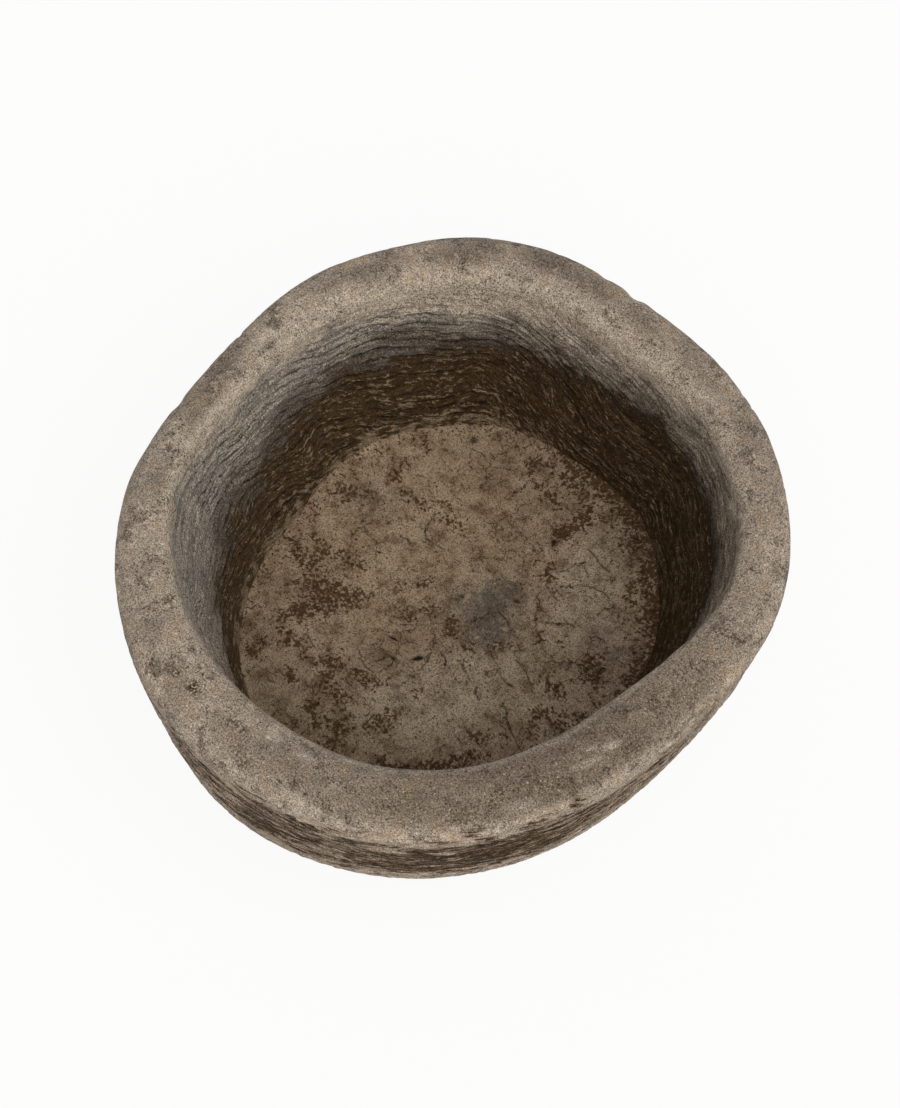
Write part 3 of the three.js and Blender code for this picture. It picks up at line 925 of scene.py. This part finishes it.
def tool_marks(add, marks, noise, face, colours):
    """The mason's marks: painted shadow in the lines under the ledges and in finer wavy lines between
    them, darker deeper in the hollow and where the outer face is stained, and on the outer face a
    thin brown wash, ragged brown stains and golden dashes."""
    wash = add(EVEN, marks.outer_stain, 0, 1.2, 0, 0.7)
    held = add(EVEN, marks.outer_stain, 0, 0.3)
    ragged = add(PLUS, marks.outer_stain, add(EVEN, noise.fibres, 0, 1, -3.6, 3.6))
    stain = add(TIMES, (ragged, 0.2, 0.9, 0, 0.95), held)
    dirt = laid_over(add, colours.silt, (colours.shade, (noise.streaks, 0.4, 0.6, 0, 0.9)))
    marks.dirt = add(MOST, add(TIMES, stain, 0.85), marks.dirt)
    crest = add(APART, add(LESS, noise.fibres, 0.5))
    hairline = add(TIMES, (crest, 0.024, 0, 0, 0.45), (noise.blotches, 0.42, 0.6), marks.wall)
    # Painted shadow in the lines under the ledges and in the finer lines, over stone and silt alike.
    line = add(MOST, add(EVEN, marks.ledge_line, 0, 1, 0, 0.8), hairline)
    return laid_over(
        add, face,
        (colours.lime_stain, wash),
        (dirt, stain),
        (colours.fleck, (noise.flecks, 0.53, 0.6, 0, 0.6), held),
        (colours.shade, line),
    )


def grains_and_scuffs(add, marks, noise, face, colours):
    """Silt in the pits, fresh pale scuffs and chips, and the salt and pepper of the grains."""
    pepper = add(PLUS, noise.speckle, add(EVEN, noise.blotches, 0.35, 0.65, 0.05, -0.07))
    silt = add(TIMES, marks.rim_silt, (noise.speckle, 0.42, 0.54))
    silt = add(MOST, silt, (pepper, 0.59, 0.63, 0, 0.75))
    scuff = add(MOST, marks.rim_scuff, marks.chip)
    scuff = add(TIMES, scuff, (noise.speckle, 0.38, 0.6, 0.2, 0.9))
    dry = (marks.above_silt, 50 * MM, 0, 1, 0.3)
    clean = add(EVEN, marks.dirt, 0, 1, 1, 0.06)
    salt = add(TIMES, (noise.speckle, 0.4, 0.3, 0, 0.5), dry, clean)
    return laid_over(add, face, (colours.silt, silt), (colours.pale_stone, add(MOST, scuff, salt)))


def weathered_gritstone(sizes, colours):
    """Gritstone, dressed with a mason's point and worn by weather and water: matt and coarse. The eye
    gets a salt-and-pepper grain, warm and grey patches with lichen and grime on the rim, dark lines
    of painted shadow under the tool ledges with a painted highlight on their edges, and brown silt
    with bare flecks low in the hollow."""
    material, add = new_material("weathered_gritstone")
    marks = {n: add("Attribute", out="Fac", attribute_name=n) for n in STONE_SHARES}
    marks = SimpleNamespace(**marks)
    upright = add("TexCoord", out="Object")
    place = add("Mapping", {"Vector": upright, "Rotation": ASLANT})
    spot = add("SeparateXYZ", upright).node.outputs
    laid = add("CombineXYZ", spot["X"], spot["Y"], add(TIMES, marks.course, sizes.ledge_pitch))
    dashed, coursed, drawn_out = (
        add("Mapping", {"Vector": laid, "Scale": (1, 1, flatter)}) for flatter in (3, 6, 13))
    noise = SimpleNamespace()
    for name, where, size, detail, fineness in (
        ("patches", place, 70 * MM, 7, 0.68),
        ("blotches", place, 24 * MM, 6, 0.7),
        ("spots", place, 8 * MM, 4, 0.7),
        ("grain", place, sizes.grain, 2, 0.75),
        ("speckle", place, 1.6 * sizes.grain, 2, 0.6),
        ("streaks", coursed, 46 * MM, 5, 0.68),
        ("fibres", drawn_out, 36 * MM, 4, 0.66),
        ("flecks", dashed, 9 * MM, 4, 0.66),
    ):
        setattr(noise, name, add("TexNoise", where, 1 / size, detail, fineness))
    course_marks(add, marks, noise)
    face = stone_face(add, marks, noise, colours)
    for step in (water_marks, silt_cover, tool_marks, grains_and_scuffs):
        face = step(add, marks, noise, face, colours)
    shade = add(TIMES, (noise.grain, 0.28, 0.72, 0.35, 1.7), (noise.spots, 0.3, 0.7, 0.8, 1.2))
    fibrous = add(TIMES, noise.fibres, marks.wall)
    relief = add(PLUS, noise.grain, noise.speckle, fibrous, add(TIMES, noise.spots, 2.5))
    matt_finish(add, face, shade, (noise.spots, 0.3, 0.7, 0.84, 0.98), relief, 0.9, 1.6 * MM)
    return material


def lime_face(add, marks, noise, colours):
    """The screed's own face: cloudy and blotched, with a patch worn grey, places painted paler as
    painted light, and brown where it is worn, thick in the grains there."""
    crowded = add(TIMES, marks.silt, 0.27)
    patchy = add(EVEN, noise.dabs, 0, 1, -0.25, 0.25)
    grains = add(PLUS, noise.speckle, crowded, patchy)
    dots = add(PLUS, noise.grit, add(EVEN, noise.blots, 0.35, 0.65, -0.04, 0.04))
    stained = add(MOST, (grains, 0.67, 0.71, 0, 0.9), (dots, 0.56, 0.58, 0, 0.95))
    return laid_over(
        add, colours.lime,
        (colours.lime_stain, (noise.clouds, 0.38, 0.62, 0, 0.4)),
        (colours.lime_stain, (noise.blots, 0.52, 0.62, 0, 0.5)),
        (colours.lime_grey, marks.grey, (noise.dabs, 0.3, 0.6, 0.55, 1)),
        (colours.fleck, (noise.blots, 0.44, 0.32, 0, 0.3)),
        # Painted light: pale laid over the screed's front and right.
        (colours.pale_stone, marks.pale, (noise.dabs, 0.3, 0.6, 0.3, 0.12)),
        (colours.lime_stain, marks.silt, (noise.dabs, 0.38, 0.6, 0.1, 0.7)),
        (colours.stain, stained),
    )


def lime_cracks(add, place, marks, noise):
    """The screed's cracks and pits, and a fine crazing in places."""
    wobble = add("TexNoise", place, 1 / (9 * MM), 3, 0.6, out="Color")
    shifted = add("VectorMath", wobble, (8 * MM, 8 * MM, 8 * MM), place, operation="MULTIPLY_ADD")
    crazed = add("TexVoronoi", shifted, 1 / (22 * MM), feature="DISTANCE_TO_EDGE")
    crazed = add(TIMES, (crazed, 0.035, 0.005, 0, 0.7), (noise.clouds, 0.5, 0.6))
    return add(MOST, marks.crack, marks.pit, crazed)


def trowelled_lime(sizes, colours):
    """Lime mortar, trowelled flat and worn: matt and sandy. The eye gets its pale brown face, sprinkled
    with dark grains, brown stains where it is worn rough, cracks, a grey patch and paler places of
    painted light."""
    material, add = new_material("trowelled_lime")
    marks = {n: add("Attribute", out="Fac", attribute_name=n) for n in SCREED_SHARES}
    marks = SimpleNamespace(**marks)
    place = add("Mapping", {"Vector": add("TexCoord", out="Object"), "Rotation": ASLANT})
    noise = SimpleNamespace()
    for name, size, detail, fineness in (
        ("clouds", 80 * MM, 7, 0.66),
        ("blots", 20 * MM, 6, 0.75),
        ("dabs", 7 * MM, 4, 0.75),
        ("grit", sizes.grit, 2, 0.75),
        ("speckle", 1.6 * sizes.grit, 2, 0.6),
    ):
        setattr(noise, name, add("TexNoise", place, 1 / size, detail, fineness))
    face = laid_over(
        add, lime_face(add, marks, noise, colours),
        (colours.shade, lime_cracks(add, place, marks, noise)),
        (colours.pale_stone, (noise.speckle, 0.34, 0.26, 0, 0.25)),
    )
    shade = add(SOFT, noise.grit, 0.3, 0.7, 0.3, 1.85)
    relief = add(PLUS, noise.grit, noise.speckle)
    matt_finish(add, face, shade, (noise.blots, 0.3, 0.7, 0.8, 0.94), relief, 0.7, 0.8 * MM)
    return material


# Stage

# A lamp as wide as a window, high in front and a little to the right, and even light from all round.
KEY_BEARING = math.radians(-62)
KEY_ELEVATION = math.radians(50)
KEY_SPREAD = math.radians(85)
KEY_LEVEL = 2.3
KEY_COLOUR = (1, 0.985, 0.96)
SKY_LEVEL = 0.45
SKY_COLOUR = (0.97, 0.985, 1)
FLOOR_WIDTH = 8
FLOOR_WHITENESS = 0.9
WHITE = (1, 1, 1)


def aimed(name, data, towards, distance):
    """A camera or a lamp that looks at the trough from a direction."""
    made = placed(name, data)
    made.location = AIM + towards * distance
    made.rotation_euler = towards.to_track_quat("Z", "Y").to_euler()
    return made


def photo_camera():
    """The camera, where the photograph's was."""
    data = bpy.data.cameras.new("photo_camera")
    data.sensor_width = FILM
    data.lens = FILM * FOCAL_PIXELS / PHOTO_HEIGHT
    data.clip_end = 50
    away = Vector((0, -math.cos(ELEVATION), math.sin(ELEVATION)))
    bpy.context.scene.camera = aimed("photo_camera", data, away, DISTANCE)


def seen_white(add, share):
    """That share for what the camera, mirrors and glass see, and 0 for the light that falls."""
    path = add("LightPath").node.outputs
    seen = add(MOST, path["Is Camera Ray"], path["Is Glossy Ray"], path["Is Transmission Ray"])
    return add(TIMES, seen, share)


def stage_floor(colours):
    """A plain pale floor that keeps the trough's shadow, faint as in the photograph."""
    material, add = new_material("pale_floor")
    paper = add("BsdfDiffuse", {"Color": colours.floor})
    glow = add("Emission", {"Color": WHITE, "Strength": 1.0})
    add("OutputMaterial", {"Surface": add("MixShader", seen_white(add, FLOOR_WHITENESS), paper, glow)})
    mesh = bpy.data.meshes.new("pale_floor")
    sheet = bmesh.new()
    bmesh.ops.create_grid(sheet, x_segments=8, y_segments=8, size=FLOOR_WIDTH / 2)
    sheet.to_mesh(mesh)
    sheet.free()
    mesh.materials.append(material)
    floor = placed("pale_floor", mesh)


def soft_sky():
    """Even light from all round, which the camera sees as white."""
    world = bpy.data.worlds.new("soft_sky")
    world.use_nodes = True
    world.node_tree.nodes.clear()
    add = adder(world.node_tree)
    sky = add("Background", {"Color": SKY_COLOUR, "Strength": SKY_LEVEL})
    white = add("Background", {"Color": WHITE, "Strength": 1.0})
    add("OutputWorld", {"Surface": add("MixShader", seen_white(add, 1.0), sky, white)})
    bpy.context.scene.world = world


def soft_lamp():
    """The lamp, with edges as soft as its width makes them."""
    data = bpy.data.lights.new("soft_lamp", "SUN")
    data.energy = KEY_LEVEL
    data.angle = KEY_SPREAD
    data.color = KEY_COLOUR
    level = Vector((math.cos(KEY_BEARING), math.sin(KEY_BEARING), 0))
    aimed("soft_lamp", data, level * math.cos(KEY_ELEVATION) + UP * math.sin(KEY_ELEVATION), 1)


class TROUGH_OT_stage(bpy.types.Operator):
    """Sets up the camera, the pale floor and the soft light"""
    bl_idname = "trough.stage"
    bl_label = "Set the stage"

    def execute(self, context):
        photo_camera()
        stage_floor(context.scene.trough_colours)
        soft_sky()
        soft_lamp()
        context.scene.view_settings.view_transform = "Standard"
        return {"FINISHED"}


class TROUGH_OT_stone_block(bpy.types.Operator):
    """Dresses the block of stone over its solid"""
    bl_idname = "trough.stone_block"
    bl_label = "Dress the stone block"

    def execute(self, context):
        scene = context.scene
        material = weathered_gritstone(scene.trough_sizes, scene.trough_colours)
        block = stone_block(scene.trough_sizes, material)
        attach(block, "root")
        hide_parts("stone_body")
        return {"FINISHED"}


class TROUGH_OT_screed_layer(bpy.types.Operator):
    """Trowels the screed over the floor of the hollow, once the stone block is dressed"""
    bl_idname = "trough.screed_layer"
    bl_label = "Trowel the screed"

    def execute(self, context):
        scene = context.scene
        material = trowelled_lime(scene.trough_sizes, scene.trough_colours)
        layer = screed_layer(scene.trough_sizes, bpy.data.objects["stone_block"], material)
        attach(layer, "root")
        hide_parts("floor_screed")
        return {"FINISHED"}


class VIEW3D_PT_trough(bpy.types.Panel):
    """The trough's steps, sizes and colours"""
    bl_label = "Stone trough"
    bl_space_type = "VIEW_3D"
    bl_region_type = "UI"
    bl_category = "Trough"

    def draw(self, context):
        column = self.layout.column()
        for step in STEPS:
            column.operator(step.bl_idname)
        for group in (context.scene.trough_sizes, context.scene.trough_colours):
            for name in group.bl_rna.properties.keys():
                if name not in ("rna_type", "name"):
                    column.prop(group, name, text=name.replace("_", " ").capitalize())


STEPS = (TROUGH_OT_stage, TROUGH_OT_stone_block, TROUGH_OT_screed_layer)
CLASSES = (TroughSizes, TroughColours, *STEPS, VIEW3D_PT_trough)


def register():
    """Makes the trough's settings, steps and panel known."""
    for listed in CLASSES:
        bpy.utils.register_class(listed)
    bpy.types.Scene.trough_sizes = PointerProperty(type=TroughSizes)
    bpy.types.Scene.trough_colours = PointerProperty(type=TroughColours)


def unregister():
    """Takes them away again."""
    del bpy.types.Scene.trough_colours
    del bpy.types.Scene.trough_sizes
    for listed in reversed(CLASSES):
        bpy.utils.unregister_class(listed)


def main():
    """Makes the whole trough."""
    register()
    bpy.ops.trough.stage()
    bpy.ops.trough.stone_block()
    bpy.ops.trough.screed_layer()


if __name__ == "__main__":
    main()
